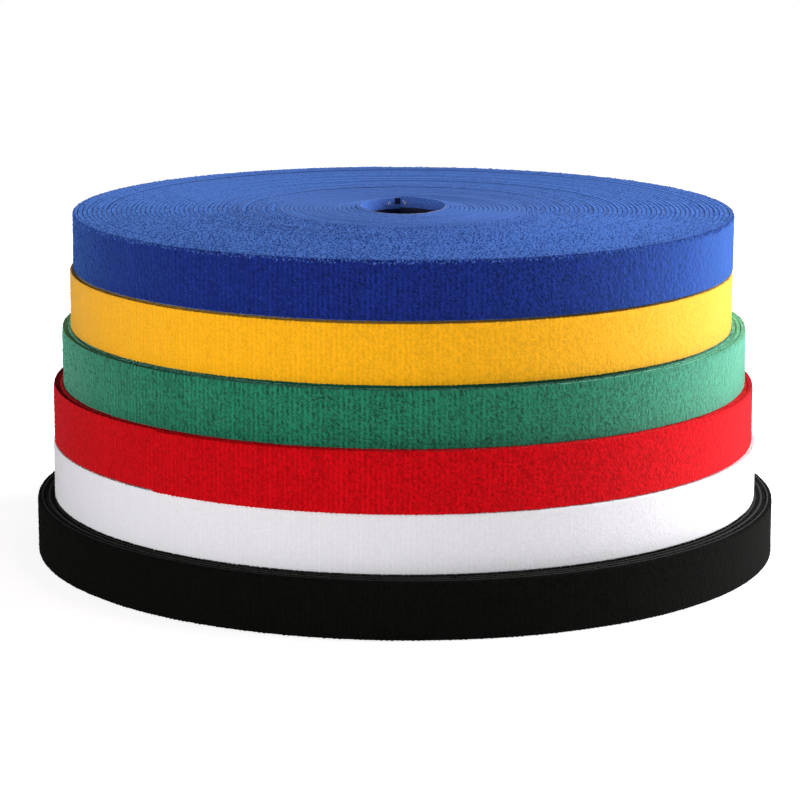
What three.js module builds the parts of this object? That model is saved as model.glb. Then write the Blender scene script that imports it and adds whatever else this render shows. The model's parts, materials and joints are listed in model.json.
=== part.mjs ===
// A set of six coreless rolls of hook and loop tape, one colour each, stacked flat.
// Each roll is one strip wound on itself, loops outward and hooks inward. Its inner end lies
// free in the bore, its inner turns are packed firm, its outer turns show one by one, and its
// outer end peels off. Lengths are millimetres, +Z is up, and the origin is the middle of the
// stack's underside.
import * as THREE from 'three';

// The tape
const TAPE_WIDTH = 20;
const TAPE_THICKNESS = 1.2;
const TAPE_LENGTH = 25000;

// The winding: radii, and counts of steps and turns
const BORE_RADIUS = 15;
const STEPS_PER_TURN = 24;
const INNER_END_STEPS = 6;
const INNER_END_LIFT = 1.8;
const TAPE_END_STEPS = 2;

// Clearances: between two stretches of one tape, and between two rolls
const BUTT_GAP = 0.3;
const STACK_GAP = 0.4;

// The air between two turns; a tighter winding has less
const BLACK_SLACK = 1.0;
const WHITE_SLACK = 0.78;
const RED_SLACK = 0.76;
const GREEN_SLACK = 0.66;
const YELLOW_SLACK = 0.52;
const BLUE_SLACK = 0.51;

// How far each roll was set down off the middle of the black one, to the right and to the back
const WHITE_SHIFT_X = -0.25;
const WHITE_SHIFT_Y = -1.0;
const RED_SHIFT_X = -0.75;
const RED_SHIFT_Y = -1.6;
const GREEN_SHIFT_X = -0.55;
const GREEN_SHIFT_Y = 0.2;
const YELLOW_SHIFT_X = -1.55;
const YELLOW_SHIFT_Y = -1.3;
const BLUE_SHIFT_X = -0.95;
const BLUE_SHIFT_Y = 0.5;

// The rolls, from the bottom up. outerTurns counts the turns that show one by one, and endAzimuth
// is where the outer end lies, in degrees from +X.
const ROLLS = [
  { name: 'black', color: 0x111110, slack: BLACK_SLACK, shift: [0, 0], outerTurns: 4, endAzimuth: 60 },
  {
    name: 'white',
    color: 0xe8e7ec,
    slack: WHITE_SLACK,
    shift: [WHITE_SHIFT_X, WHITE_SHIFT_Y],
    outerTurns: 4,
    endAzimuth: 120,
  },
  {
    name: 'red',
    color: 0xc70e16,
    slack: RED_SLACK,
    shift: [RED_SHIFT_X, RED_SHIFT_Y],
    outerTurns: 4,
    endAzimuth: 229.4,
  },
  {
    name: 'green',
    color: 0x2a7759,
    slack: GREEN_SLACK,
    shift: [GREEN_SHIFT_X, GREEN_SHIFT_Y],
    outerTurns: 4,
    endAzimuth: 75,
  },
  {
    name: 'yellow',
    color: 0xf8b428,
    slack: YELLOW_SLACK,
    shift: [YELLOW_SHIFT_X, YELLOW_SHIFT_Y],
    outerTurns: 4,
    endAzimuth: 135,
  },
  {
    name: 'blue',
    color: 0x1e2f75,
    slack: BLUE_SLACK,
    shift: [BLUE_SHIFT_X, BLUE_SHIFT_Y],
    outerTurns: 24,
    endAzimuth: 95,
  },
];

const STEP_ANGLE = (2 * Math.PI) / STEPS_PER_TURN;

// The spiral of one roll, counted in steps from the inner end, clockwise outward seen from above
function makeWinding(roll) {
  const pitch = TAPE_THICKNESS + roll.slack;
  const rollRadius = Math.sqrt(BORE_RADIUS ** 2 + (pitch * TAPE_LENGTH) / Math.PI);
  const steps = Math.round(((rollRadius - BORE_RADIUS) / pitch) * STEPS_PER_TURN);
  const endAngle = THREE.MathUtils.degToRad(roll.endAzimuth);
  const tapeEndStart = steps - TAPE_END_STEPS;
  const innerFace = (step) => BORE_RADIUS + (pitch * step) / STEPS_PER_TURN;
  return {
    steps,
    tapeEndStart,
    outerTurnsStart: tapeEndStart - roll.outerTurns * STEPS_PER_TURN,
    innerFace,
    outerFace: (step) => innerFace(step) + TAPE_THICKNESS,
    azimuth: (step) => endAngle + (steps - step) * STEP_ANGLE,
    buttSteps: (step) => BUTT_GAP / (innerFace(step) * STEP_ANGLE),
  };
}

function polarPoint(radius, azimuth) {
  return new THREE.Vector2(radius * Math.cos(azimuth), radius * Math.sin(azimuth));
}

// The steps from one end of a stretch to the other, with every whole step between
function stepsBetween(first, last) {
  const steps = [first];
  for (let step = Math.floor(first) + 1; step < last; step += 1) {
    steps.push(step);
  }
  steps.push(last);
  return steps;
}

// The inner and outer edge of the tape at each step of a stretch; lift draws it off the turn behind it
function stripStations(winding, first, last, lift = () => 0) {
  return stepsBetween(first, last).map((step) => ({
    inner: polarPoint(winding.innerFace(step) - lift(step), winding.azimuth(step)),
    outer: polarPoint(winding.outerFace(step) - lift(step), winding.azimuth(step)),
  }));
}

// A closed strip of tape standing on edge, with four corners at each station
function stripGeometry(stations) {
  const positions = [];
  for (const { inner, outer } of stations) {
    positions.push(inner.x, inner.y, 0);
    positions.push(outer.x, outer.y, 0);
    positions.push(outer.x, outer.y, TAPE_WIDTH);
    positions.push(inner.x, inner.y, TAPE_WIDTH);
  }
  const corners = 4;
  const lastStation = corners * (stations.length - 1);
  const triangles = [0, 2, 1, 0, 3, 2];
  for (let here = 0; here < lastStation; here += corners) {
    const next = here + corners;
    for (let corner = 0; corner < corners; corner += 1) {
      const beside = (corner + 1) % corners;
      triangles.push(here + corner, here + beside, next + beside);
      triangles.push(here + corner, next + beside, next + corner);
    }
  }
  triangles.push(lastStation, lastStation + 1, lastStation + 2);
  triangles.push(lastStation, lastStation + 2, lastStation + 3);
  const geometry = new THREE.BufferGeometry();
  geometry.setAttribute('position', new THREE.Float32BufferAttribute(positions, 3));
  geometry.setIndex(triangles);
  return geometry;
}

// The firm inner turns: a disc whose rim and bore each step by one turn, where the tape goes on
function coreGeometry(winding) {
  const rimFirst = winding.outerTurnsStart - STEPS_PER_TURN;
  const rim = stepsBetween(rimFirst, winding.outerTurnsStart).map((step) =>
    polarPoint(winding.outerFace(step), winding.azimuth(step)));
  const bore = stepsBetween(INNER_END_STEPS, INNER_END_STEPS + STEPS_PER_TURN).map((step) =>
    polarPoint(winding.innerFace(step), winding.azimuth(step)));
  const outline = new THREE.Shape(rim.reverse());
  outline.holes.push(new THREE.Path(bore));
  return new THREE.ExtrudeGeometry(outline, { depth: TAPE_WIDTH, bevelEnabled: false });
}

function outerTurnsStations(winding) {
  const first = winding.outerTurnsStart + winding.buttSteps(winding.outerTurnsStart);
  return stripStations(winding, first, winding.tapeEndStart);
}

function tapeEndStations(winding) {
  const first = winding.tapeEndStart + winding.buttSteps(winding.tapeEndStart);
  return stripStations(winding, first, winding.steps);
}

// The inner end springs away from the bore's wall towards its cut edge
function innerEndStations(winding) {
  const last = INNER_END_STEPS - winding.buttSteps(INNER_END_STEPS);
  const lift = (step) => INNER_END_LIFT * (1 - step / INNER_END_STEPS) ** 2;
  return stripStations(winding, 0, last, lift);
}

// The least distance from a turn's outer points to the facets of the turn that covers it
function leastTurnGap(stations) {
  const last = stations.length - 1;
  const facet = new THREE.Line3();
  const nearest = new THREE.Vector3();
  let least = Infinity;
  for (let index = 1; index + STEPS_PER_TURN < last; index += 1) {
    const point = new THREE.Vector3(...stations[index].outer, 0);
    const above = index + STEPS_PER_TURN;
    for (const end of [above - 1, above + 1]) {
      facet.start.set(...stations[above].inner, 0);
      facet.end.set(...stations[end].inner, 0);
      facet.closestPointToPoint(point, true, nearest);
      least = Math.min(least, nearest.distanceTo(point));
    }
  }
  return least;
}

function makeMesh(name, geometry, color) {
  const material = new THREE.MeshStandardMaterial({ color, roughness: 0.95, metalness: 0 });
  const mesh = new THREE.Mesh(geometry, material);
  mesh.name = name;
  return mesh;
}

// One roll, centred on its own outline so that every roll keeps its place in the stack
function makeRoll(roll, level) {
  const winding = makeWinding(roll);
  const outerTurns = outerTurnsStations(winding);
  const tapeEnd = tapeEndStations(winding);
  console.log(`${roll.name} outer turns, least gap ${leastTurnGap(outerTurns).toFixed(2)} mm`);
  const outlinePoints = [...outerTurns, ...tapeEnd].map((station) => station.outer);
  const middle = new THREE.Box2().setFromPoints(outlinePoints).getCenter(new THREE.Vector2());
  const group = new THREE.Group();
  group.add(makeMesh(`${roll.name}_inner_end`, stripGeometry(innerEndStations(winding)), roll.color));
  group.add(makeMesh(`${roll.name}_core_turns`, coreGeometry(winding), roll.color));
  group.add(makeMesh(`${roll.name}_outer_turns`, stripGeometry(outerTurns), roll.color));
  group.add(makeMesh(`${roll.name}_tape_end`, stripGeometry(tapeEnd), roll.color));
  const bottom = level * (TAPE_WIDTH + STACK_GAP);
  group.position.set(roll.shift[0] - middle.x, roll.shift[1] - middle.y, bottom);
  return group;
}

const stack = new THREE.Group();
ROLLS.forEach((roll, level) => stack.add(makeRoll(roll, level)));

export default stack;
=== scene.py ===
import json
import math

import bpy
import numpy as np
from mathutils import Matrix, Vector


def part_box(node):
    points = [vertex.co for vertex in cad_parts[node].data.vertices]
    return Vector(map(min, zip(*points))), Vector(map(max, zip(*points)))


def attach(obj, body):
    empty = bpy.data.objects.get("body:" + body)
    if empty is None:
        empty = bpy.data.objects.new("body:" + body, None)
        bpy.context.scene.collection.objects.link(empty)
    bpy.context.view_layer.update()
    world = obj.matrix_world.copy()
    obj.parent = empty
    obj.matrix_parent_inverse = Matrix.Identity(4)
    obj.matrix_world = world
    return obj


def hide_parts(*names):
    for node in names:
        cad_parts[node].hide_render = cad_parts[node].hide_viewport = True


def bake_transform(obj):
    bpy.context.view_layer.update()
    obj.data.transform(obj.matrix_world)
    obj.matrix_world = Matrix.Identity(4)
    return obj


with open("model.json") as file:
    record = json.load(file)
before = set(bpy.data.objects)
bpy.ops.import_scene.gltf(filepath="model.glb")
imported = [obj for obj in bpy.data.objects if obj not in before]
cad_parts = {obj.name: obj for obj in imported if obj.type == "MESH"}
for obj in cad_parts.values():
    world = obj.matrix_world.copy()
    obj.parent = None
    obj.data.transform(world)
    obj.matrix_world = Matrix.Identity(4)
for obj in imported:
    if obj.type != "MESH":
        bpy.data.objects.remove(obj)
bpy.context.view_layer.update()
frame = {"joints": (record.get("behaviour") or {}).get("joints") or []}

# Lengths are metres, and MM turns millimetres into metres
MM = 0.001

# The winding, with the sizes and counts of the solids
TAPE_THICKNESS = 1.2 * MM
TAPE_LENGTH = 25.0
BORE_RADIUS = 15 * MM
STEPS_PER_TURN = 24
INNER_END_STEPS = 6
TAPE_END_STEPS = 2
BUTT_GAP = 0.3 * MM

# The inner end lies close to the wall of the bore, and thins to that share over its last part of a turn
INNER_END_LIFT = 0.4 * MM
INNER_END_TAPER = 0.06
INNER_END_SHARE = 0.35

# The tape's layers: hooks inward, a woven web, loop pile outward
PILE_TIPS = TAPE_THICKNESS - 0.3 * MM
WEB_THICKNESS = 0.45 * MM
PILE_SHARE = 0.62
FILLED_SHARE = 0.97
HOOK_MARGIN = 4.0 * MM
COVERED_MARGIN = 0.15 * MM
LOWER_ROUNDING = 0.25 * MM
CORNER_CUT = 0.4 * LOWER_ROUNDING
ROUNDING_DEPTH = 0.65
STATIONS_PER_TURN = 96

# So many turns show their hooks in the bore, and so many outer turns clear the roll below
OPEN_TURNS = 1.03
SLOT_TURNS = 4

# On the rolls between, pile and hooks of the inner turns lie lower than the web's edge;
# that begins under the outer turns and reaches its full depth after so many turns
GROOVED_ROLLS = ("white", "red", "green", "yellow")
GROOVE = 0.4 * MM
GROOVE_START = 5
GROOVE_TAPER = 14

# Turns that stand up out of the winding: a scatter with so many knots per turn, and single arcs
# that reach so many turns; both fade out where the outer turn begins
TURN_SCATTER = 0.05 * MM
SCATTER_KNOTS = 3
PROUD_TURNS = {"blue": 30}
PROUD_HEIGHT = 0.16 * MM
PROUD_SHARE = (0.25, 1)
PROUD_POWER = 1.5
PROUD_REACH = (0.12, 0.55)
RISE_FADE = 0.5

# The innermost turns of the top roll are pushed up on the far side of the bore
CONED_ROLL = "blue"
CONE_TURNS = 6
CONE_HEIGHT = 2.2 * MM

# The pile's surface on the outer turn
RIB_SPACING = 1.7 * MM
STATIONS_PER_RIB = 4
NEAREST_STATION = 0.3
FACE_ROWS = 40
RIB_HEIGHT = 0.12 * MM
RIB_LENGTH = 6 * MM
RIB_STRENGTH = (0.4, 1.0)
RIB_SHARPNESS = 1.5
RIB_PATCHES = 0.4
CURL_SIZE = 0.9 * MM
CURL_HEIGHT = 0.08 * MM
FUZZ_HEIGHT = 0.05 * MM
WAVE_CELL = 14 * MM
WAVE_HEIGHT = 0.1 * MM

# The nap is the height in the pile, from 0 at the feet to 1 at the tips; the pile's tone follows it, darker
# at the feet as painted shade
MID_NAP = 0.5
RIB_TONE = 0.9
CURL_TONE = 0.08
FUZZ_TONE = 0.42

# On the side of each roll that faces the key lamp the pile is brushed up: few ribs and more curls; its tone
# is lighter there, as painted light
BRUSHED_FACING = math.radians(15)
BRUSHED_FROM = 0.3
BRUSHED_TO = 0.7
BRUSHED_PAINTED_LIGHT = 0.1
BRUSHED_RIBS = 0.15

# The pile looks more even on the left, apart from the green roll
EVEN_FACING = math.radians(200)
EVEN_SHARE = 0.5
UNEVEN_ROLLS = ("green",)

# The pile's lower and upper edges are jagged
EDGE_JAG = 0.4 * MM
JAG_SHARE = (0.3, 1)

# The outer turn's pile stands up over the edge towards the front, where no roll lies on it
PROUD_EDGE = {"red": 0.5 * MM}
PROUD_FRONT = 0.6

# The roll above presses the outer turns down at the front, by that much and that many turns;
# the pile of the outer turn springs back by a share of it
PRESSED = {"green": 2.0 * MM, "yellow": 0.8 * MM}
PRESSED_TURNS = 5
SPRUNG_SHARE = 0.5

# Threads: loops that stand out of the pile, sunk into it at their feet
LOOP_SPACING = 1.5 * MM
LOOP_SCATTER = 0.2
LOOP_LENGTH = 0.8 * MM
LOOP_LENGTH_SHARE = (0.6, 1.3)
LOOP_HEIGHT = 0.16 * MM
LOOP_HEIGHT_SHARE = (0.3, 1.1)
LOOP_ARCH = 0.8
LOOP_SINK = 0.2 * MM
LOOP_SINK_COMBED = 0.1 * MM
LOOP_TOP_MARGIN = 0.2 * MM
LOOP_OVERHANG = 0.1 * MM
LOOP_RADIUS = 0.12 * MM
LOOP_RINGS = 5
# Loops take a light tone, as tips over the painted shade of the pile
LOOP_NAP = 0.65
THREAD_SIDES = 3

# Hooks on the inner face, with the rise and bend of each ring as shares of the height
HOOK_SPACING = 1.15 * MM
HOOK_HEIGHT = 0.4 * MM
HOOK_RADIUS = 0.09 * MM
HOOK_RISE = (0, 0.6, 1.0, 0.85)
HOOK_BEND = (0, 0.02, 0.35, 0.75)

# Pale threads in the top roll's bore: short ones at the cut inner end, and a long loose one
FRAYED_ROLL = "blue"
FRAY_COLOUR = (0.36, 0.42, 0.62)
FRAY_PLACES = (-4.7 * MM, -4.2 * MM, 0.9 * MM, 1.5 * MM, 2.0 * MM)
FRAY_RINGS = 5
FRAY_LENGTH = 1.7 * MM
FRAY_LENGTH_SHARE = (0.6, 1.1)
FRAY_DROP = (1.2 * MM, 2.2 * MM)
FRAY_LEAN = 0.5
FRAY_GAP = 0.1 * MM
FRAY_BOW = 0.3 * MM
FRAY_RADIUS = 0.17 * MM
LOOSE_THREAD_TURNS = (0.26, 0.78)
LOOSE_THREAD_RINGS = 40
LOOSE_THREAD_RISE = (-0.05 * MM, 0.12 * MM)
LOOSE_THREAD_SWAY = 0.1 * MM
LOOSE_THREAD_RADIUS = 0.09 * MM

# Along the upper edge: the weft's stitches on the web, and tufts of pile beside them. Long, wide and
# tall are half sizes, for tufts as shares of their spacing and of the pile's depth
EDGE_START = 0.02
STITCHED_TURNS = {"blue": 60, "black": 5}
STITCH_SPACING = 1.1 * MM
STITCH_SCATTER = 0.08 * MM
STITCH_SWAY = 0.03 * MM
STITCH_SINK = 0.03 * MM
STITCH_LONG = 0.4 * STITCH_SPACING
STITCH_WIDE = 0.62 * WEB_THICKNESS
STITCH_TALL = (0.08 * MM, 0.2 * MM)
STITCH_SKEW = 0.35
TUFTED_TURNS = {"blue": 42}
TUFTED_TURNS_ELSEWHERE = 5
TUFT_SPACING = 1.5 * MM
TUFT_SCATTER = 0.4
TUFT_DEPTH = (0.35, 0.75)
TUFT_LONG = (0.2, 0.42)
TUFT_WIDE = (0.25, 0.45)
TUFT_TALL_ROOT = (0.3, 0.7)
TUFT_SKEW = 0.5

# The top roll's inner turns show pale edges, out to a border that wanders with a knot every so many turns
# between these turns under the outer one. Beside its inner end, dark hook colour on the upper part of the
# bore wall's margin paints a notch of shade
PALE_TURNS = {"blue": (20, 45)}
PALE_ARC = 0.3
PAINTED_NOTCH_SHADE_TURNS = (0.972, 1.0)
PAINTED_NOTCH_SHADE_SHARE = 0.6

# Sides of the wound section, counted from the inner lower corner round
CROWN_SIDES = slice(7, 9)
PAINTED_LIGHT_SIDES = slice(11, 13)
PAINTED_NOTCH_SHADE_SIDE = 11

# Stitches and tufts lie flatter on the far side
FLAT_SHARE = 0.35

# Weft that shows over the upper edge of the pile's face
RIM_ROLLS = ("blue",)
RIM_SPACING = 0.42 * MM
RIM_SCATTER = 0.3
RIM_DROP = 1.3 * MM
RIM_CROWDING = 1.5
RIM_LONG = (0.2 * MM, 0.4 * MM)
RIM_WIDE = 0.2 * MM
RIM_TALL = (0.25 * MM, 0.6 * MM)
RIM_SKEW = 0.4

# Corners over this angle stay sharp
SMOOTH_ANGLE = math.radians(40)

# Each kind of detail has its own row of random numbers
FACE_SEED = 100
LOOP_SEED = 200
STITCH_SEED = 300
TUFT_SEED = 400
FRAY_SEED = 500
PALE_SEED = 600

# Sheets: the margins of strips and of cells, the places of a strip's two caps, of a thread's end,
# and of a bead's points and faces
WHOLE_SHEET = (0, 0, 1, 1)
STRIP_MARGIN = 0.02
CELL_MARGIN = 0.05
CAP_PLACES = (0.25, 0.75)
CAP_RADII = (0.1, 0.3)
END_PLACES = ((0.96, 0.05), (0.99, 0.05), (0.96, 0.1))
BEAD_PLACES = ((0.45, 0.5), (0.25, 0.9), (0.05, 0.5), (0.25, 0.1), (0.25, 0.5))
BEAD_UPPER_FACES = ((0, 1, 4), (1, 2, 4), (2, 3, 4), (3, 0, 4))
BEAD_LOWER_FACES = ((1, 0, 5), (2, 1, 5), (3, 2, 5), (0, 3, 5))
BEAD_POINTS = 6
BEAD_FACES = 8

# Camera, floor and light
CAMERA_PLACE = (-1.91 * MM, -1055.4 * MM, 271.7 * MM)
CAMERA_PITCH = math.radians(11.763)
CAMERA_ROLL = math.radians(0.16)
CAMERA_LENS = 133.76
SENSOR_WIDTH = 36
STACK_MIDDLE = Vector((0, 0, 0.06))
FLOOR_REACH = 1.1
FLOOR_COLOUR = (0.86, 0.86, 0.86)
FLOOR_LIFT = 0.76
WORLD_LIGHT = 0.08

# Cloth: the sheen's roughness, the grey in the web's sheen, and where the darker and lighter tones lie
SHEEN_ROUGHNESS = 0.5
WEB_SHEEN_GREY = 0.07
TONE_PLACES = (0.3, 0.7)

# The rolls from the bottom up: the air between two turns, where the outer end lies in degrees from +X,
# how far the pile's upper edge lies below the web's, how far the outer turns end above the roll's underside
# or, if negative, the outer pile below it, how far the pile's upper edge is rounded, how rough the pile is,
# the colours of pile, web, hooks and upper edges, the sheen's tint, and the share by which tips are lighter
# and feet darker, as painted shade in the pile. The upper edges' colour paints the light and shade on the
# ledges: darker than the pile on yellow, a little lighter on green and red. The blue hooks are near black
# to paint the shade in the bore
ROLLS = {
    "black": dict(
        slack=1.0 * MM,
        end=60,
        margin=0.16 * MM,
        under=0.1 * MM,
        rounding=0.7 * MM,
        relief=0.9,
        pile=(0.0029, 0.0029, 0.0025),
        web=(0.036, 0.036, 0.035),
        hook=(0.010, 0.010, 0.010),
        edge=(0.0034, 0.0034, 0.0030),
        glow=(0.009, 0.009, 0.009),
        spread=0.35,
    ),
    "white": dict(
        slack=0.78 * MM,
        end=120,
        margin=-0.05 * MM,
        under=0.0 * MM,
        rounding=0.4 * MM,
        relief=0.3,
        pile=(0.72, 0.71, 0.745),
        web=(0.73, 0.72, 0.75),
        hook=(0.73, 0.73, 0.75),
        edge=(0.72, 0.71, 0.745),
        glow=(0.05, 0.05, 0.05),
        spread=0.04,
    ),
    "red": dict(
        slack=0.76 * MM,
        end=229.4,
        margin=-0.15 * MM,
        under=-0.3 * MM,
        rounding=0.4 * MM,
        relief=0.9,
        pile=(0.455, 0.0015, 0.0044),
        web=(0.44, 0.003, 0.005),
        hook=(0.55, 0.010, 0.014),
        edge=(0.47, 0.0020, 0.0052),
        glow=(1.0, 0.062, 0.075),
        spread=0.35,
    ),
    "green": dict(
        slack=0.66 * MM,
        end=75,
        margin=-0.15 * MM,
        under=-0.2 * MM,
        rounding=0.35 * MM,
        relief=1.0,
        pile=(0.0082, 0.117, 0.063),
        web=(0.021, 0.178, 0.100),
        hook=(0.030, 0.190, 0.110),
        edge=(0.0100, 0.130, 0.071),
        glow=(0.39, 1.0, 0.74),
        spread=0.62,
    ),
    "yellow": dict(
        slack=0.52 * MM,
        end=135,
        margin=-0.15 * MM,
        under=-0.5 * MM,
        rounding=0.35 * MM,
        relief=0.8,
        pile=(0.86, 0.395, 0.0050),
        web=(0.86, 0.43, 0.02),
        hook=(0.93, 0.46, 0.03),
        edge=(0.65, 0.28, 0.005),
        glow=(0.30, 0.40, 0.26),
        spread=0.13,
    ),
    "blue": dict(
        slack=0.51 * MM,
        end=95,
        margin=0.06 * MM,
        under=-0.05 * MM,
        rounding=0.9 * MM,
        relief=1.0,
        pile=(0.0066, 0.0138, 0.134),
        web=(0.022, 0.056, 0.238),
        # The blue hooks are near black, darker than the pile, to paint the shade deep in the bore
        hook=(0.006, 0.008, 0.040),
        edge=(0.034, 0.074, 0.290),
        glow=(0.135, 0.35, 1.0),
        spread=0.6,
    ),
}
PILE, WEB, HOOK, EDGE, PAINTED_LIGHT = 0, 1, 2, 3, 4
# The lighter colour on the top roll's bore wall is painted light, as bright as the top; some rim stitches
# take it too
PAINTED_LIGHT_COLOUR = (0.060, 0.130, 0.450)


class Winding:
    """One roll's spiral, counted in turns from the inner end, clockwise outward seen from above."""

    def __init__(self, colour, seed):
        spec = ROLLS[colour]
        self.colour = colour
        self.seed = seed
        self.pitch = TAPE_THICKNESS + spec["slack"]
        radius = math.sqrt(BORE_RADIUS**2 + self.pitch * TAPE_LENGTH / math.pi)
        steps = round((radius - BORE_RADIUS) / self.pitch * STEPS_PER_TURN)
        self.turns = steps / STEPS_PER_TURN
        self.tail_turn = (steps - TAPE_END_STEPS) / STEPS_PER_TURN
        self.face_turn = self.tail_turn - 1
        self.end = math.radians(spec["end"])
        low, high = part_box(colour + "_core_turns")
        self.margin = spec["margin"]
        self.under = spec["under"]
        self.rounding = spec["rounding"]
        self.relief = spec["relief"]
        self.bottom = low.z
        self.width = high.z - low.z
        joint = next(j for j in frame["joints"] if j["name"] == colour + "_peel")
        self.hinge = Vector(joint["pos_m"])
        hinge_turn = self.tail_turn + BUTT_GAP / (2 * math.pi * self.inner_face(self.tail_turn))
        corner = self.inner_face(hinge_turn) + TAPE_THICKNESS
        angle = self.azimuth(hinge_turn)
        self.centre = (self.hinge.x - corner * math.cos(angle), self.hinge.y - corner * math.sin(angle))
        self.web_out = PILE_TIPS - PILE_SHARE * self.pitch
        self.web_in = self.web_out - WEB_THICKNESS
        self.hook_tips = PILE_TIPS - FILLED_SHARE * self.pitch
        self.plan_rise()

    def inner_face(self, turn):
        return BORE_RADIUS + self.pitch * turn

    def azimuth(self, turn):
        return self.end + 2 * math.pi * (self.turns - turn)

    def along(self, turn):
        """Length of tape from the inner end."""
        return 2 * math.pi * (BORE_RADIUS * turn + self.pitch * turn**2 / 2)

    def turn_at(self, along):
        reach = BORE_RADIUS / self.pitch
        return np.sqrt(reach**2 + along / (math.pi * self.pitch)) - reach

    def plan_rise(self):
        rng = np.random.default_rng(self.seed)
        knots = int(self.turns * SCATTER_KNOTS) + SCATTER_KNOTS + 1
        self.scatter = np.abs(rng.normal(0, 1, knots)).clip(0, 2) * TURN_SCATTER
        count = PROUD_TURNS.get(self.colour, 0)
        self.proud = np.stack(
            [
                rng.uniform(1, self.face_turn - RISE_FADE, count),
                rng.uniform(*PROUD_REACH, count),
                rng.uniform(*PROUD_SHARE, count) ** PROUD_POWER * PROUD_HEIGHT,
            ],
            axis=-1,
        )

    def rise(self, turn):
        """How far the tape stands up at this turn."""
        height = np.interp(turn * SCATTER_KNOTS, np.arange(len(self.scatter)), self.scatter)
        for middle, reach, top in self.proud:
            near = np.clip(1 - np.abs(turn - middle) / reach, 0, 1)
            height = height + top * near * near * (3 - 2 * near)
        if self.colour == CONED_ROLL:
            far_side = 0.5 + 0.5 * np.sin(self.azimuth(turn))
            height = height + CONE_HEIGHT * far_side * np.clip(1 - turn / CONE_TURNS, 0, 1) ** 2
        return height * np.clip((self.face_turn - turn) / RISE_FADE, 0, 1)

    def top(self, turn):
        """Height of the tape's upper edge at this turn."""
        front = np.clip(-np.sin(self.azimuth(turn)), 0, 1)
        outer = np.clip(turn - self.face_turn + PRESSED_TURNS, 0, 1)
        return self.width - PRESSED.get(self.colour, 0) * front * outer

    def place(self, turn, depth, height):
        """Points in the CAD frame, with depth from the tape's inner face and height from its lower edge."""
        free = np.clip(1 - turn * STEPS_PER_TURN / INNER_END_STEPS, 0, 1)
        radius = self.inner_face(turn) + depth - INNER_END_LIFT * free**2
        angle = self.azimuth(turn)
        x = self.centre[0] + radius * np.cos(angle)
        y = self.centre[1] + radius * np.sin(angle)
        z = self.bottom + height
        return np.stack(np.broadcast_arrays(x, y, z), axis=-1)


class Part:
    """Points and faces of one piece. Each corner has a place on the tape and one on the piece's own sheet."""

    def __init__(self):
        self.points = []
        self.faces = []
        self.kinds = []
        self.weave = []
        self.sheet = []
        self.nap = []
        self.count = 0

    def add(self, points, faces, kinds, weave, sheet, region=WHOLE_SHEET, nap=MID_NAP):
        """Takes faces of one size; weave and sheet have two numbers per corner, and sheet fills the region.
        nap has one number for each point, or one for all."""
        left, low, right, high = region
        self.points.append(points.reshape(-1, 3))
        self.faces.extend((faces + self.count).tolist())
        self.kinds.append(np.broadcast_to(kinds, len(faces)))
        self.weave.append(weave.reshape(-1, 2))
        self.sheet.append(sheet.reshape(-1, 2) * (right - left, high - low) + (left, low))
        self.nap.append(np.broadcast_to(nap, self.points[-1].shape[:1]))
        self.count += len(self.points[-1])

    def build(self, name, materials):
        mesh = bpy.data.meshes.new(name)
        mesh.from_pydata(np.concatenate(self.points).tolist(), [], self.faces)
        for material in materials:
            mesh.materials.append(material)
        mesh.polygons.foreach_set("material_index", np.concatenate(self.kinds).astype(np.int32))
        mesh.polygons.foreach_set("use_smooth", np.ones(len(mesh.polygons), bool))
        for layer, places in (("OFBake", self.sheet), ("weave", self.weave)):
            uv = mesh.uv_layers.new(name=layer, do_init=False).uv
            uv.foreach_set("vector", np.concatenate(places).astype(np.float32).ravel())
        nap = mesh.attributes.new("nap", "FLOAT", "POINT")
        nap.data.foreach_set("value", np.concatenate(self.nap).astype(np.float32))
        mesh.set_sharp_from_angle(angle=SMOOTH_ANGLE)
        mesh.update()
        piece = bpy.data.objects.new(name, mesh)
        bpy.context.scene.collection.objects.link(piece)
        return piece


def value_noise(rng, x, y, cell_x, cell_y):
    """Smooth noise from -1 to 1 on cells of that size."""
    gx = x / cell_x
    gy = y / cell_y
    ix = gx.astype(int)
    iy = gy.astype(int)
    grid = rng.uniform(-1, 1, (ix.max() + 2, iy.max() + 2))
    fx = gx - ix
    fy = gy - iy
    fx = fx * fx * (3 - 2 * fx)
    fy = fy * fy * (3 - 2 * fy)
    low = grid[ix, iy] * (1 - fx) + grid[ix + 1, iy] * fx
    high = grid[ix, iy + 1] * (1 - fx) + grid[ix + 1, iy + 1] * fx
    return low * (1 - fy) + high * fy


def corners(values):
    """Values at the four corners of each quad of a grid."""
    return np.stack([values[:-1, :-1], values[:-1, 1:], values[1:, 1:], values[1:, :-1]], axis=2)


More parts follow.
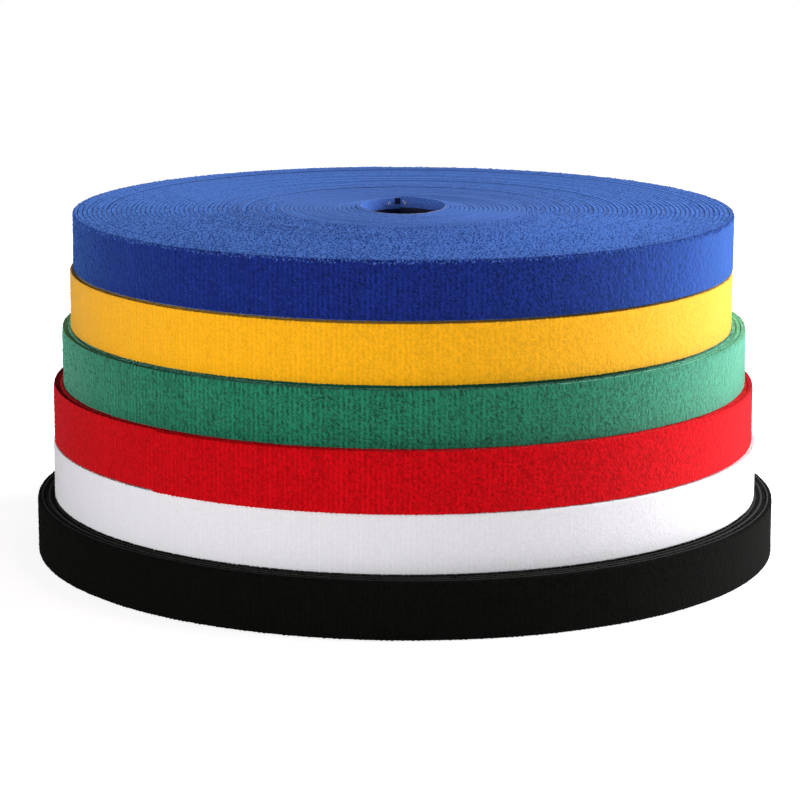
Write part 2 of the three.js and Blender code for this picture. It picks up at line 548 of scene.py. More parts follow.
def add_strip(part, winding, along, depth, height, kinds, rows, region=WHOLE_SHEET, nap=MID_NAP):
    """A closed section swept along the tape, with a cap at both ends; its sheet is folded into rows."""
    stations, ring = depth.shape
    points = winding.place(winding.turn_at(along), depth, height)
    index = np.arange(stations * ring).reshape(stations, ring)
    faces = corners(np.concatenate([index, index[:, :1]], axis=1)).reshape(-1, 4)
    section = np.stack([depth[0], height[0]], axis=-1)
    steps = np.linalg.norm(np.roll(section, -1, axis=0) - section, axis=-1)
    across = np.concatenate([[0], np.cumsum(steps)])
    weave = np.stack(np.broadcast_arrays(along, across[None, :]), axis=-1)
    per_row = math.ceil((stations - 1) / rows)
    row = np.arange(stations - 1) // per_row
    left = (np.arange(stations - 1) - row * per_row) / per_row
    bands = across / across[-1] * (1 - 2 * STRIP_MARGIN) + STRIP_MARGIN
    x = np.stack([left, left, left + 1 / per_row, left + 1 / per_row], axis=-1)[:, None, :]
    y = np.stack([bands[:-1], bands[1:], bands[1:], bands[:-1]], axis=-1)[None, :, :]
    y = (y + row[:, None, None]) / (rows + 1)
    sheet = np.stack(np.broadcast_arrays(x, y), axis=-1)
    kinds = np.broadcast_to(kinds, (stations - 1, ring)).ravel()
    part.add(points, faces, kinds, corners(weave), sheet, region, nap)
    around = np.arange(ring) / ring * 2 * math.pi
    cap_x = np.cos(around) * CAP_RADII[0]
    cap_y = (np.sin(around) * CAP_RADII[1] + rows + 0.5) / (rows + 1)
    first_cap, last_cap = (np.stack([cap_x + place, cap_y], axis=-1)[None] for place in CAP_PLACES)
    no_points = np.zeros((0, 3))
    index = index - stations * ring
    part.add(no_points, index[:1, ::-1], [WEB], weave[:1, :ring][:, ::-1], first_cap[:, ::-1], region)
    part.add(no_points, index[-1:], [WEB], weave[-1:, :ring], last_cap, region)


def origins(count):
    """The number of cells along one side of a square sheet for so many, and the corner of each."""
    side = math.ceil(math.sqrt(count))
    number = np.arange(count)
    return side, np.stack([number % side, number // side], axis=-1)


def cells(count, columns, rows):
    """Places of small grids of columns x rows quads, one grid per cell of a square sheet."""
    x = np.linspace(CELL_MARGIN, 1 - CELL_MARGIN, columns + 1)
    y = np.linspace(CELL_MARGIN, 1 - CELL_MARGIN, rows + 1)
    grid = corners(np.stack(np.meshgrid(x, y, indexing="ij"), axis=-1)).reshape(1, -1, 4, 2)
    side, origin = origins(count)
    return ((grid + origin[:, None, None, :]) / side).reshape(-1, 4, 2)


def add_threads(part, winding, line, first_side, second_side, radius, kind, region=WHOLE_SHEET, nap=MID_NAP):
    """Thin bent tubes; line, first_side and second_side are given as along, up and depth."""
    count, rings = line.shape[:2]
    around = np.arange(THREAD_SIDES) / THREAD_SIDES * 2 * math.pi + math.pi / 2
    cosine = np.cos(around)[:, None] * radius
    sine = np.sin(around)[:, None] * radius
    tube = line[:, :, None] + first_side[:, :, None] * cosine + second_side[:, :, None] * sine
    points = winding.place(winding.turn_at(tube[..., 0]), tube[..., 2], tube[..., 1])
    index = np.arange(count * rings * THREAD_SIDES).reshape(count, rings, THREAD_SIDES)
    index = np.concatenate([index, index[..., :1]], axis=2)
    faces = np.stack([index[:, :-1, :-1], index[:, :-1, 1:], index[:, 1:, 1:], index[:, 1:, :-1]], axis=-1)
    base = line[:, :1, None, None, :2]
    weave = np.broadcast_to(base, (*faces.shape, 2))
    part.add(points, faces.reshape(-1, 4), kind, weave, cells(count, rings - 1, THREAD_SIDES), region, nap)
    ends = np.concatenate([index[:, 0, [0, 2, 1]], index[:, -1, :3]]) - count * rings * THREAD_SIDES
    side, origin = origins(count)
    sheet = (np.tile(origin, (2, 1))[:, None, :] + np.array(END_PLACES)) / side
    weave = np.broadcast_to(np.tile(line[:, :1, :2], (2, 1, 1)), (2 * count, 3, 2))
    part.add(np.zeros((0, 3)), ends, kind, weave, sheet, region)


def add_stitches(part, winding, along, up, depth, long, wide, tall, skew, kind):
    """Small closed beads along an edge, each with four corners, a top and a foot."""
    count = len(along)
    zero = np.zeros(count)
    ring = np.stack(
        [
            np.stack([along + long, up, depth + skew * wide], axis=-1),
            np.stack([along - skew * long, up, depth + wide], axis=-1),
            np.stack([along - long, up, depth - skew * wide], axis=-1),
            np.stack([along + skew * long, up, depth - wide], axis=-1),
            np.stack([along, up + tall, depth + zero], axis=-1),
            np.stack([along, up - tall, depth + zero], axis=-1),
        ],
        axis=1,
    )
    points = winding.place(winding.turn_at(ring[..., 0]), ring[..., 2], ring[..., 1])
    pattern = np.array(BEAD_UPPER_FACES + BEAD_LOWER_FACES)
    faces = (pattern[None] + np.arange(count)[:, None, None] * BEAD_POINTS).reshape(-1, 3)
    places = np.array(BEAD_PLACES + BEAD_PLACES[-1:])
    upper = places[np.array(BEAD_UPPER_FACES)]
    lower = places[np.array(BEAD_LOWER_FACES)] + (0.5, 0)
    side, origin = origins(count)
    sheet = (np.concatenate([upper, lower])[None] + origin[:, None, None, :]) / side
    weave = np.broadcast_to(np.stack([along, up], axis=-1)[:, None, None, :], (count, BEAD_FACES, 3, 2))
    part.add(points, faces, kind, weave, sheet)


def thinned(turn, depth):
    """Depths on the tape, pressed towards the pile's tips where the inner end thins towards its cut."""
    share = INNER_END_SHARE + (1 - INNER_END_SHARE) * np.clip(turn / INNER_END_TAPER, 0, 1)
    return PILE_TIPS - (PILE_TIPS - depth) * share


def wound_section(winding, turn):
    """The tape's section at each turn as depths and heights, from the inner lower corner round."""
    groove = np.clip((winding.face_turn - GROOVE_START - turn) / GROOVE_TAPER, 0, 1)
    groove = groove * (GROOVE if winding.colour in GROOVED_ROLLS else 0)
    hooks = np.where(turn < OPEN_TURNS, HOOK_MARGIN, COVERED_MARGIN + groove)
    clear = max(0, winding.under) * np.clip(turn - winding.face_turn + SLOT_TURNS, 0, 1)
    low = clear + abs(winding.margin)
    top = winding.top(turn)
    high = top - winding.margin - groove
    zero = 0 * turn
    section = [
        (winding.hook_tips, hooks),
        (winding.web_in, hooks),
        (winding.web_in, clear),
        (winding.web_out, clear),
        (winding.web_out, low),
        (PILE_TIPS - CORNER_CUT, low),
        (PILE_TIPS, clear + LOWER_ROUNDING),
        (PILE_TIPS, top - LOWER_ROUNDING),
        (PILE_TIPS - CORNER_CUT, high),
        (winding.web_out, high),
        (winding.web_out, top),
        (winding.web_in, top),
        (winding.web_in, top - PAINTED_NOTCH_SHADE_SHARE * hooks),
        (winding.web_in, top - hooks),
        (winding.hook_tips, top - hooks),
    ]
    depth = np.concatenate([zero + place for place, height in section], axis=1)
    height = np.concatenate([zero + height for place, height in section], axis=1)
    return thinned(turn, depth), height


def wound_kinds(winding, turn):
    """The material of each side of the section at these turns."""
    # Rolls without stitches show web and crown in the edge colour, which paints the ledges' light and shade
    web = WEB if winding.colour in STITCHED_TURNS else EDGE
    crown = PILE if winding.colour in STITCHED_TURNS else EDGE
    sides = [HOOK, WEB, WEB, WEB, PILE, PILE, PILE, crown, crown, web, web, web, web, HOOK, HOOK]
    kinds = np.tile(sides, (len(turn), 1))
    if winding.colour in PALE_TURNS:
        first, last = (winding.face_turn - turns for turns in PALE_TURNS[winding.colour])
        rng = np.random.default_rng(PALE_SEED + winding.seed)
        knots = np.arange(0, winding.face_turn + 1, PALE_ARC)
        pale = np.interp(turn, knots, rng.uniform(last, first, len(knots))) > turn
        kinds[pale, CROWN_SIDES] = WEB
        # The innermost turn's upper margin on the bore wall takes the lighter colour, painted light
        kinds[turn < OPEN_TURNS, PAINTED_LIGHT_SIDES] = PAINTED_LIGHT
        # A short stretch beside the inner end takes the dark hook colour on the wall's upper margin, a
        # painted notch of shade
        kinds[(turn > PAINTED_NOTCH_SHADE_TURNS[0]) & (turn < PAINTED_NOTCH_SHADE_TURNS[1]), PAINTED_NOTCH_SHADE_SIDE] = HOOK
    return kinds


def wound_turns(winding, materials):
    """All turns under the outer one, as one unbroken strip from the inner end."""
    turn = np.linspace(0, winding.face_turn, int(winding.face_turn * STATIONS_PER_TURN) + 1)[:, None]
    depth, height = wound_section(winding, turn)
    part = Part()
    kinds = wound_kinds(winding, turn[:-1, 0])
    rows = math.ceil(winding.face_turn)
    add_strip(part, winding, winding.along(turn), depth, height + winding.rise(turn), kinds, rows)
    return part.build(winding.colour + "_wound_turns", materials)


class PileFace:
    """The pile's surface from the start of the outer turn to the cut edge."""

    def __init__(self, winding):
        self.winding = winding
        self.start = winding.along(winding.face_turn)
        self.step = RIB_SPACING / STATIONS_PER_RIB
        length = winding.along(winding.turns) - self.start
        rng = np.random.default_rng(FACE_SEED + winding.seed)
        along = np.arange(0, length + 2 * self.step, self.step)
        up = np.linspace(0, winding.width, FACE_ROWS)
        along, up = np.meshgrid(along, up, indexing="ij")
        rib = (along / RIB_SPACING).astype(int)
        strength = rng.uniform(*RIB_STRENGTH, rib.max() + 1)[rib]
        wave = (0.5 - 0.5 * np.cos(2 * math.pi * along / RIB_SPACING)) ** RIB_SHARPNESS
        patch = 1 - RIB_PATCHES + RIB_PATCHES * value_noise(rng, along, up, RIB_SPACING, RIB_LENGTH)
        curl = value_noise(rng, along, up, CURL_SIZE, CURL_SIZE)
        fuzz = rng.uniform(-1, 1, along.shape)
        broad = value_noise(rng, along, up, WAVE_CELL, WAVE_CELL)
        turn = winding.turn_at(self.start + along)
        facing = winding.azimuth(turn) - BRUSHED_FACING
        brushed = ((0.5 + 0.5 * np.cos(facing) - BRUSHED_FROM) / (BRUSHED_TO - BRUSHED_FROM)).clip(0, 1)
        self.brushed = brushed[:, 0]
        ribs = wave * strength * patch * (1 - (1 - BRUSHED_RIBS) * brushed)
        fine = RIB_HEIGHT * ribs + CURL_HEIGHT * curl + FUZZ_HEIGHT * fuzz
        # The tone follows the relief: lower pile is darker, painted shade in its hollows
        tone = RIB_TONE * (ribs - ribs.mean()) + CURL_TONE * curl + FUZZ_TONE * fuzz
        if winding.colour not in UNEVEN_ROLLS:
            tone *= 1 - EVEN_SHARE * np.cos(winding.azimuth(turn) - EVEN_FACING).clip(0, 1)
        # The side that faces the key lamp gets a lighter tone, painted light
        self.nap = MID_NAP + tone + BRUSHED_PAINTED_LIGHT * brushed
        self.relief = winding.relief * fine + WAVE_HEIGHT * broad
        for inward, reach in ((up, LOWER_ROUNDING), (winding.width - up, winding.rounding)):
            edge = (1 - inward / reach).clip(0, 1)
            self.relief -= ROUNDING_DEPTH * reach * (1 - np.sqrt(1 - edge**2))
        teeth = (wave * strength)[:, 0]
        self.low_jag = EDGE_JAG * teeth * rng.uniform(*JAG_SHARE, len(along))
        self.high_jag = EDGE_JAG * teeth * rng.uniform(*JAG_SHARE, len(along))
        open_side = (PROUD_FRONT * (1 - np.sin(winding.azimuth(turn[:, 0])))).clip(0, 1)
        self.high_jag += PROUD_EDGE.get(winding.colour, 0) * open_side
        self.high_jag += SPRUNG_SHARE * (winding.width - winding.top(turn[:, 0]))

    def station(self, along):
        return np.clip(np.rint((along - self.start) / self.step).astype(int), 0, len(self.relief) - 1)

    def relief_at(self, along, up):
        row = np.clip(np.rint(up / self.winding.width * (FACE_ROWS - 1)).astype(int), 0, FACE_ROWS - 1)
        return self.relief[self.station(along), row]

    def add_tape(self, part, turn_from, turn_to, rows, region=WHOLE_SHEET):
        """A stretch of the outer turn, with its pile surface in full detail."""
        winding = self.winding
        start, stop = winding.along(turn_from), winding.along(turn_to)
        inside = self.start + self.step * np.arange(len(self.relief))
        nearest = NEAREST_STATION * self.step
        inside = inside[(inside > start + nearest) & (inside < stop - nearest)]
        along = np.concatenate([[start], inside, [stop]])
        number = self.station(along)
        top = winding.top(winding.turn_at(along))[:, None]
        up = np.linspace(0, 1, FACE_ROWS) * top
        up[:, 0] += EDGE_JAG + winding.under - self.low_jag[number]
        up[:, -1] += self.high_jag[number] - winding.margin
        ground_depth = np.array([winding.hook_tips, winding.web_in, winding.web_in, winding.web_out])
        ground_height = np.array([HOOK_MARGIN, HOOK_MARGIN, 0, 0])
        one = np.ones((len(along), 1))
        pile_depth = PILE_TIPS + self.relief[number]
        depth = np.concatenate([one * ground_depth, pile_depth, one * ground_depth[::-1]], axis=1)
        lower = one * np.maximum(ground_height, winding.under)
        upper = top - one * ground_height[::-1]
        height = np.concatenate([lower, up, upper], axis=1)
        # Where web and crown take the edge colour, it paints the ledges' light and shade
        web = WEB if winding.colour in STITCHED_TURNS else EDGE
        crown = WEB if winding.colour in RIM_ROLLS else EDGE
        kinds = [HOOK, WEB, WEB] + [PILE] * FACE_ROWS + [crown, web, WEB, HOOK, HOOK]
        ground = len(ground_depth)
        nap = np.pad(self.nap[number], ((0, 0), (ground, ground)), constant_values=MID_NAP)
        add_strip(part, winding, along[:, None], depth, height, kinds, rows, region, nap.ravel())

    def add_loops(self, part, turn_from, turn_to, rng, region=WHOLE_SHEET):
        """Small arched threads that stand out of the pile, low ones where it is brushed up."""
        winding = self.winding
        start = winding.along(turn_from) + LOOP_LENGTH
        stop = winding.along(turn_to) - LOOP_LENGTH
        count = int((stop - start) * winding.width / LOOP_SPACING**2)
        rib = np.rint((rng.uniform(start, stop, count) - self.start) / RIB_SPACING - 0.5) + 0.5
        along = self.start + (rib + rng.normal(0, LOOP_SCATTER, count)) * RIB_SPACING
        along = along.clip(start, stop)[:, None]
        top = winding.top(winding.turn_at(along))
        lowest = EDGE_JAG + winding.under
        up = lowest + rng.uniform(0, 1, count)[:, None] * (top - lowest - LOOP_TOP_MARGIN)
        lean = rng.uniform(-0.5, 0.5, count)[:, None] * math.pi
        length = LOOP_LENGTH * rng.uniform(*LOOP_LENGTH_SHARE, count)[:, None]
        tall = LOOP_HEIGHT * winding.relief * rng.uniform(*LOOP_HEIGHT_SHARE, count)[:, None]
        share = np.linspace(0, 1, LOOP_RINGS)[None, :]
        reach = (share - 0.5) * length
        combed = 1 - self.brushed[self.station(along)]
        sink = LOOP_SINK + (LOOP_SINK_COMBED - LOOP_SINK) * combed
        foot = PILE_TIPS + self.relief_at(along, up) - sink
        arch = foot + tall * combed * np.sin(math.pi * share) ** LOOP_ARCH
        height = (up + reach * np.cos(lean)).clip(winding.under + LOOP_RADIUS, top + LOOP_OVERHANG)
        line = np.stack([along + reach * np.sin(lean), height, arch], axis=-1)
        flat = np.stack([np.cos(lean), -np.sin(lean), 0 * lean], axis=-1) + 0 * line
        out = np.array([0, 0, 1]) + 0 * line
        add_threads(part, winding, line, flat, out, LOOP_RADIUS, PILE, region, LOOP_NAP)

    def add_rim(self, part, turn_from, turn_to, rng):
        """Weft stitches that hang over the upper edge of the pile's face."""
        winding = self.winding
        start = winding.along(turn_from) + RIM_SPACING
        stop = winding.along(turn_to) - RIM_SPACING
        along = np.arange(start, stop, RIM_SPACING)
        count = len(along)
        along = along + rng.uniform(-RIM_SCATTER, RIM_SCATTER, count) * RIM_SPACING
        up = winding.width - RIM_DROP * rng.uniform(0, 1, count) ** RIM_CROWDING
        add_stitches(
            part,
            winding,
            along,
            up,
            depth=PILE_TIPS + self.relief_at(along, up),
            long=rng.uniform(*RIM_LONG, count),
            wide=RIM_WIDE,
            tall=rng.uniform(*RIM_TALL, count),
            skew=rng.uniform(-RIM_SKEW, RIM_SKEW, count),
            # About half the stitches, at random, take the lighter colour that paints light on the bore wall
            kind=np.repeat(rng.choice([WEB, PAINTED_LIGHT], count), BEAD_FACES),
        )


def add_hooks(part, winding, turn_from, turn_to, region=WHOLE_SHEET):
    """Rows of small hooks on the tape's inner face."""
    start = winding.along(turn_from) + HOOK_SPACING
    stop = winding.along(turn_to) - HOOK_SPACING
    rows = np.arange(HOOK_MARGIN + 0.5 * HOOK_SPACING, winding.width - HOOK_MARGIN, HOOK_SPACING)
    along, up = np.meshgrid(np.arange(start, stop, HOOK_SPACING), rows, indexing="ij")
    along = along.reshape(-1, 1)
    up = up.reshape(-1, 1) + winding.rise(winding.turn_at(along))
    rise = np.array(HOOK_RISE)[None, :] * HOOK_HEIGHT
    bend = np.array(HOOK_BEND)[None, :] * HOOK_HEIGHT
    line = np.stack(np.broadcast_arrays(along + bend, up, winding.hook_tips - rise), axis=-1)
    onward = np.array([1.0, 0, 0]) + 0 * line
    upward = np.array([0, 1.0, 0]) + 0 * line
    add_threads(part, winding, line, onward, upward, HOOK_RADIUS, HOOK, region)


def edge_places(winding, turns, spacing):
    """Places along the upper edge of the outer turns, and the height of the edge there."""
    start = winding.along(max(EDGE_START, winding.face_turn - turns))
    stop = winding.along(winding.tail_turn) - spacing
    along = np.arange(start, stop, spacing)
    turn = winding.turn_at(along)
    return along, winding.top(turn) + winding.rise(turn)


def standing(winding, along):
    """How far stitches and tufts stand up, from FLAT_SHARE at the back to 1 at the front."""
    front = 0.5 - 0.5 * np.sin(winding.azimuth(winding.turn_at(along)))
    return FLAT_SHARE + (1 - FLAT_SHARE) * front


def selvedge(winding, materials):
    """The weft's turns along the upper edge of the web."""
    rng = np.random.default_rng(STITCH_SEED + winding.seed)
    along, up = edge_places(winding, STITCHED_TURNS[winding.colour], STITCH_SPACING)
    count = len(along)
    part = Part()
    add_stitches(
        part,
        winding,
        along + rng.normal(0, STITCH_SCATTER, count),
        up - STITCH_SINK,
        depth=(winding.web_in + winding.web_out) / 2 + rng.normal(0, STITCH_SWAY, count),
        long=STITCH_LONG,
        wide=STITCH_WIDE,
        tall=rng.uniform(*STITCH_TALL, count) * standing(winding, along),
        skew=STITCH_SKEW,
        kind=WEB,
    )
    return part.build(winding.colour + "_selvedge", materials)


def edge_tufts(winding, materials):
    """Tufts of pile that stand up along the upper edge."""
    rng = np.random.default_rng(TUFT_SEED + winding.seed)
    turns = TUFTED_TURNS.get(winding.colour, TUFTED_TURNS_ELSEWHERE)
    along, up = edge_places(winding, turns, TUFT_SPACING)
    count = len(along)
    room = PILE_TIPS - winding.web_out
    part = Part()
    add_stitches(
        part,
        winding,
        along + rng.uniform(-TUFT_SCATTER, TUFT_SCATTER, count) * TUFT_SPACING,
        up - winding.margin,
        depth=winding.web_out + room * rng.uniform(*TUFT_DEPTH, count),
        long=rng.uniform(*TUFT_LONG, count) * TUFT_SPACING,
        wide=rng.uniform(*TUFT_WIDE, count) * room,
        tall=rng.uniform(*TUFT_TALL_ROOT, count) ** 2 * standing(winding, along) * MM,
        skew=rng.uniform(-TUFT_SKEW, TUFT_SKEW, count),
        # Tufts on rolls without pale turns take the edge colour, which paints the ledges' light and shade
        kind=WEB if winding.colour in PALE_TURNS else EDGE,
    )
    return part.build(winding.colour + "_edge_tufts", materials)


def frayed_threads(winding):
    """Pale threads: one loose along the bore's front edge, and a few short ones at the cut inner end."""
    rng = np.random.default_rng(FRAY_SEED + winding.seed)
    part = Part()
    turn = np.linspace(*LOOSE_THREAD_TURNS, LOOSE_THREAD_RINGS)
    up = winding.width + winding.rise(turn) + rng.uniform(*LOOSE_THREAD_RISE, len(turn))
    depth = winding.web_in + rng.uniform(-LOOSE_THREAD_SWAY, LOOSE_THREAD_SWAY, len(turn))
    line = np.stack([winding.along(turn), up, depth], axis=-1)[None]
    upward = np.array([0, 1.0, 0]) + 0 * line
    outward = np.array([0, 0, 1.0]) + 0 * line
    add_threads(part, winding, line, upward, outward, LOOSE_THREAD_RADIUS, PILE, region=(0, 0, 1, 0.2))
    foot = np.array(FRAY_PLACES)[:, None]
    foot = np.where(foot < 0, winding.along(1.0) + foot, foot)
    count = len(foot)
    share = np.linspace(0, 1, FRAY_RINGS)[None, :]
    lean = rng.uniform(-FRAY_LEAN, FRAY_LEAN, count)[:, None]
    turn = winding.turn_at(foot)
    top = winding.width + winding.rise(turn) - rng.uniform(*FRAY_DROP, count)[:, None]
    drop = FRAY_LENGTH * rng.uniform(*FRAY_LENGTH_SHARE, count)[:, None]
    inward = thinned(turn, winding.web_in) - FRAY_GAP - FRAY_BOW * np.sin(math.pi * share)
    line = np.stack(np.broadcast_arrays(foot + lean * drop * share, top - drop * share, inward), axis=-1)
    onward = np.array([1.0, 0, 0]) + 0 * line
    outward = np.array([0, 0, 1.0]) + 0 * line
    add_threads(part, winding, line, onward, outward, FRAY_RADIUS, PILE, region=(0, 0.2, 1, 1))
    return part.build(winding.colour + "_frayed_threads", [thread_material(winding.colour)])


def shader(name, colour, roughness, specular):
    """A new material, with its nodes, its links and its main shader."""
    material = bpy.data.materials.new(name)
    material.use_nodes = True
    nodes = material.node_tree.nodes
    principled = nodes["Principled BSDF"]
    principled.inputs["Base Color"].default_value = (*colour, 1)
    principled.inputs["Roughness"].default_value = roughness
    principled.inputs["Specular IOR Level"].default_value = specular
    return material, nodes, material.node_tree.links, principled


def tape_place(nodes, links, stretch):
    """Places on the tape in metres, along and across, stretched across by that factor."""
    place = nodes.new("ShaderNodeUVMap")
    place.uv_map = "weave"
    scaled = nodes.new("ShaderNodeMapping")
    scaled.inputs["Scale"].default_value = (1, stretch, 1)
    links.new(place.outputs["UV"], scaled.inputs["Vector"])
    return scaled.outputs["Vector"]


def noise(nodes, links, vector, scale, detail):
    """Smooth noise with so many cells per metre of tape."""
    node = nodes.new("ShaderNodeTexNoise")
    node.inputs["Scale"].default_value = scale
    node.inputs["Detail"].default_value = detail
    links.new(vector, node.inputs["Vector"])
    return node.outputs["Fac"]


def blend_of(nodes, links, first, second, share):
    """A mix of two values, with that share of the second."""
    node = nodes.new("ShaderNodeMix")
    node.inputs["Factor"].default_value = share
    links.new(first, node.inputs["A"])
    links.new(second, node.inputs["B"])
    return node.outputs["Result"]


def two_tones(nodes, links, principled, value, colour, spread):
    """Base colour between a darker and a lighter tone."""
    ramp = nodes.new("ShaderNodeValToRGB")
    dark, light = ramp.color_ramp.elements
    dark.position, light.position = TONE_PLACES
    dark.color = (*(c * (1 - spread) for c in colour), 1)
    light.color = (*(min(1, c * (1 + spread)) for c in colour), 1)
    links.new(value, ramp.inputs["Fac"])
    links.new(ramp.outputs["Color"], principled.inputs["Base Color"])


def bumps(nodes, links, principled, value, strength, distance):
    """Fine relief in the shading, as deep as that distance."""
    bump = nodes.new("ShaderNodeBump")
    bump.inputs["Strength"].default_value = strength
    bump.inputs["Distance"].default_value = distance
    links.new(value, bump.inputs["Height"])
    links.new(bump.outputs["Normal"], principled.inputs["Normal"])


def pile_material(colour):
    """Napped loops: lighter tips over darker feet, as painted shade in the pile, fine fuzz between them, and
    a soft sheen.
    """
    spec = ROLLS[colour]
    material, nodes, links, principled = shader(colour + "_pile", spec["pile"], roughness=1.0, specular=0.04)
    principled.inputs["Sheen Weight"].default_value = 1.0
    principled.inputs["Sheen Roughness"].default_value = SHEEN_ROUGHNESS
    principled.inputs["Sheen Tint"].default_value = (*spec["glow"], 1)
    tips = nodes.new("ShaderNodeAttribute")
    tips.attribute_name = "nap"
    fuzz = noise(nodes, links, tape_place(nodes, links, stretch=0.8), scale=1500, detail=2)
    value = blend_of(nodes, links, tips.outputs["Fac"], fuzz, share=0.4)
    two_tones(nodes, links, principled, value, spec["pile"], spec["spread"])
    bumps(nodes, links, principled, fuzz, strength=0.6, distance=0.25 * MM)
    return material


def web_material(colour):
    """The woven ground at the tape's edges: a tight diagonal weave."""
    spec = ROLLS[colour]
    material, nodes, links, principled = shader(colour + "_web", spec["web"], roughness=0.85, specular=0.06)
    principled.inputs["Sheen Weight"].default_value = 0.5
    grey = WEB_SHEEN_GREY * max(spec["glow"])
    tint = ((1 - WEB_SHEEN_GREY) * channel + grey for channel in spec["glow"])
    principled.inputs["Sheen Tint"].default_value = (*tint, 1)
    weft = nodes.new("ShaderNodeTexWave")
    weft.bands_direction = "DIAGONAL"
    weft.inputs["Scale"].default_value = 560
    weft.inputs["Distortion"].default_value = 2.5
    links.new(tape_place(nodes, links, stretch=1), weft.inputs["Vector"])
    fuzz = noise(nodes, links, tape_place(nodes, links, stretch=1), scale=900, detail=3)
    value = blend_of(nodes, links, weft.outputs["Fac"], fuzz, share=0.75)
    two_tones(nodes, links, principled, value, spec["web"], spread=0.25)
    bumps(nodes, links, principled, value, strength=0.6, distance=0.15 * MM)
    return material


def edge_material(name, colour, glow):
    """Fuzzy pile with a sheen, in a given colour: on the upper edges it paints the ledges' light and shade,
    on the top roll's bore wall it paints light.
    """
    material, nodes, links, principled = shader(name, colour, roughness=1.0, specular=0.02)
    principled.inputs["Sheen Weight"].default_value = 0.9
    principled.inputs["Sheen Roughness"].default_value = SHEEN_ROUGHNESS
    principled.inputs["Sheen Tint"].default_value = (*glow, 1)
    fuzz = noise(nodes, links, tape_place(nodes, links, stretch=1), scale=1100, detail=3)
    two_tones(nodes, links, principled, fuzz, colour, spread=0.3)
    bumps(nodes, links, principled, fuzz, strength=0.6, distance=0.2 * MM)
    return material


def hook_material(colour):
    """Plastic hooks and the ground between them."""
    spec = ROLLS[colour]
    material, nodes, links, principled = shader(colour + "_hooks", spec["hook"], roughness=0.5, specular=0.15)
    dots = nodes.new("ShaderNodeTexVoronoi")
    dots.inputs["Scale"].default_value = 1 / HOOK_SPACING
    dots.inputs["Randomness"].default_value = 0.4
    links.new(tape_place(nodes, links, stretch=1), dots.inputs["Vector"])
    mottle = noise(nodes, links, tape_place(nodes, links, stretch=1), scale=900, detail=3)
    two_tones(nodes, links, principled, mottle, spec["hook"], spread=0.2)
    bumps(nodes, links, principled, dots.outputs["Distance"], strength=0.5, distance=0.2 * MM)
    return material


def thread_material(colour):
    """Pale twisted thread."""
    material, nodes, links, principled = shader(colour + "_thread", FRAY_COLOUR, roughness=0.7, specular=0.2)
    twist = noise(nodes, links, tape_place(nodes, links, stretch=1), scale=1200, detail=2)
    two_tones(nodes, links, principled, twist, FRAY_COLOUR, spread=0.3)
    bumps(nodes, links, principled, twist, strength=0.5, distance=0.1 * MM)
    return material


def make_roll(colour, seed):
    """One roll with everything that rides on it, and its peeling end."""
    winding = Winding(colour, seed)
    face = PileFace(winding)
    rng = np.random.default_rng(LOOP_SEED + seed)
    materials = [
        pile_material(colour),
        web_material(colour),
        hook_material(colour),
        edge_material(colour + "_edge", ROLLS[colour]["edge"], ROLLS[colour]["glow"]),
    ]
    # The top roll also gets the material whose lighter colour paints light on its bore wall
    if colour in PALE_TURNS:
        materials.append(edge_material(colour + "_painted_light", PAINTED_LIGHT_COLOUR, ROLLS[colour]["glow"]))
    turns = wound_turns(winding, materials)
    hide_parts(colour + "_inner_end", colour + "_core_turns", colour + "_outer_turns")
    outer = Part()
    face.add_tape(outer, winding.face_turn, winding.tail_turn, rows=8)
    # Every roll draws its rim before its loops, and only some rolls show it
    rim = Part()
    face.add_rim(rim, winding.face_turn, winding.tail_turn, rng)
    loops = Part()
    face.add_loops(loops, winding.face_turn, winding.tail_turn, rng)
    hooks = Part()
    add_hooks(hooks, winding, INNER_END_TAPER, 1)
    pieces = [
        turns,
        outer.build(colour + "_outer_turn", materials),
        loops.build(colour + "_loop_pile", materials),
        hooks.build(colour + "_bore_hooks", materials),
        edge_tufts(winding, materials),
    ]
    if colour in STITCHED_TURNS:
        pieces.append(selvedge(winding, materials))
    if colour in RIM_ROLLS:
        pieces.append(rim.build(colour + "_rim_stitches", materials))
    if colour == FRAYED_ROLL:
        pieces.append(frayed_threads(winding))
    for piece in pieces:
        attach(piece, colour + "_roll")
    tail = Part()
    face.add_tape(tail, winding.tail_turn, winding.turns, rows=2, region=(0, 0, 1, 0.5))
    face.add_loops(tail, winding.tail_turn, winding.turns, rng, region=(0, 0.5, 0.5, 1))
    add_hooks(tail, winding, winding.tail_turn, winding.turns, region=(0.5, 0.5, 1, 1))
    end = tail.build(colour + "_peeling_end", materials)
    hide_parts(colour + "_tape_end")
    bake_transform(end)


def make_floor():
    """A white floor that keeps the shadow and shows white where it is lit."""
    mesh = bpy.data.meshes.new("floor")
    square = [(FLOOR_REACH * x, FLOOR_REACH * y, 0) for x, y in ((-1, -1), (1, -1), (1, 1), (-1, 1))]
    mesh.from_pydata(square, [], [(0, 1, 2, 3)])
    floor = bpy.data.objects.new("floor", mesh)
    bpy.context.scene.collection.objects.link(floor)
    material, nodes, links, principled = shader("floor_white", FLOOR_COLOUR, roughness=0.95, specular=0.0)
    lift = nodes.new("ShaderNodeEmission")
    path = nodes.new("ShaderNodeLightPath")
    strength = nodes.new("ShaderNodeMath")
    strength.operation = "MULTIPLY"
    strength.inputs[1].default_value = FLOOR_LIFT
    both = nodes.new("ShaderNodeAddShader")
    links.new(path.outputs["Is Camera Ray"], strength.inputs[0])
    links.new(strength.outputs[0], lift.inputs["Strength"])
    links.new(principled.outputs["BSDF"], both.inputs[0])
    links.new(lift.outputs["Emission"], both.inputs[1])
    links.new(both.outputs["Shader"], nodes["Material Output"].inputs["Surface"])
    mesh.materials.append(material)


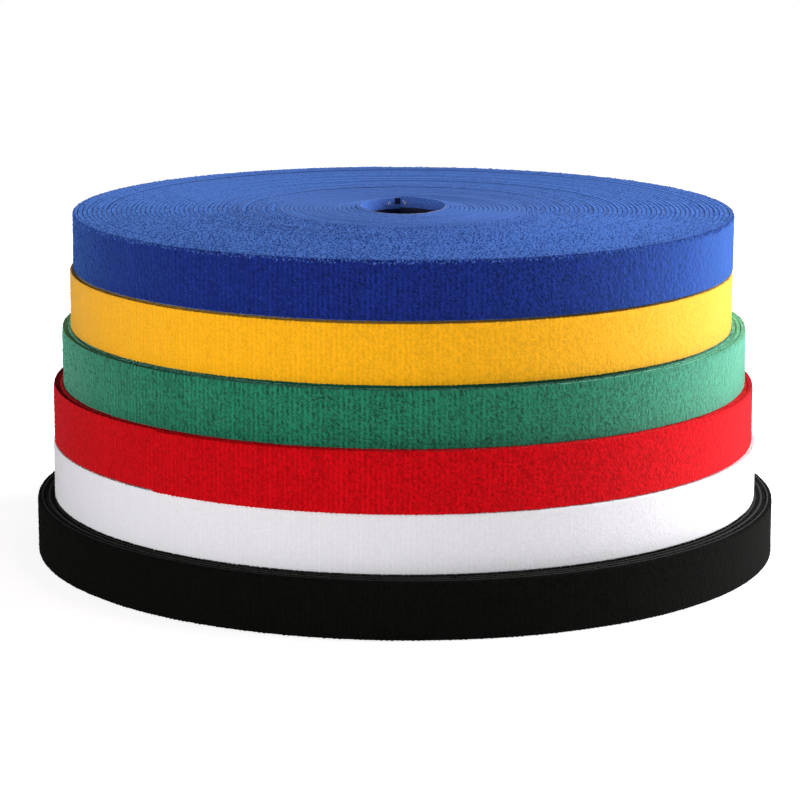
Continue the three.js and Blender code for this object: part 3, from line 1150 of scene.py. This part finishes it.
def make_world():
    """Even light from all round, and white behind the floor."""
    world = bpy.data.worlds.new("studio")
    bpy.context.scene.world = world
    world.use_nodes = True
    nodes = world.node_tree.nodes
    links = world.node_tree.links
    background = nodes["Background"]
    background.inputs["Color"].default_value = (1, 1, 1, 1)
    path = nodes.new("ShaderNodeLightPath")
    strength = nodes.new("ShaderNodeMapRange")
    strength.inputs["To Min"].default_value = WORLD_LIGHT
    strength.inputs["To Max"].default_value = 1.0
    links.new(path.outputs["Is Camera Ray"], strength.inputs["Value"])
    links.new(strength.outputs["Result"], background.inputs["Strength"])


def soft_light(name, place, size, power):
    """A flat lamp that points at the middle of the stack."""
    lamp = bpy.data.lights.new(name, "AREA")
    lamp.shape = "RECTANGLE"
    lamp.size, lamp.size_y = size
    lamp.energy = power
    obj = bpy.data.objects.new(name, lamp)
    obj.location = place
    obj.rotation_euler = (STACK_MIDDLE - Vector(place)).to_track_quat("-Z", "Y").to_euler()
    bpy.context.scene.collection.objects.link(obj)


def make_camera():
    """The photograph's camera, as fitted to it."""
    camera = bpy.data.cameras.new("camera")
    camera.sensor_width = SENSOR_WIDTH
    camera.lens = CAMERA_LENS
    obj = bpy.data.objects.new("camera", camera)
    obj.location = CAMERA_PLACE
    level = Vector((0, math.cos(CAMERA_PITCH), -math.sin(CAMERA_PITCH)))
    turned = level.to_track_quat("-Z", "Y").to_matrix() @ Matrix.Rotation(CAMERA_ROLL, 3, "Z")
    obj.rotation_euler = turned.to_euler()
    bpy.context.scene.collection.objects.link(obj)
    bpy.context.scene.camera = obj


make_camera()
for number, colour in enumerate(ROLLS):
    make_roll(colour, number)
make_floor()
make_world()
soft_light("key_right", place=(1.15, 0.35, 0.40), size=(0.8, 0.8), power=16)
soft_light("key_above", place=(1.05, 0.35, 0.75), size=(0.8, 0.8), power=5)
soft_light("side_right", place=(1.20, -0.20, 0.55), size=(0.8, 0.8), power=5)
soft_light("fill_left", place=(-0.95, -1.1, 0.25), size=(1.4, 0.4), power=17)
soft_light("near_right", place=(0.42, 0.08, 0.50), size=(0.4, 0.4), power=2.7)
bpy.context.scene.view_settings.view_transform = "Standard"
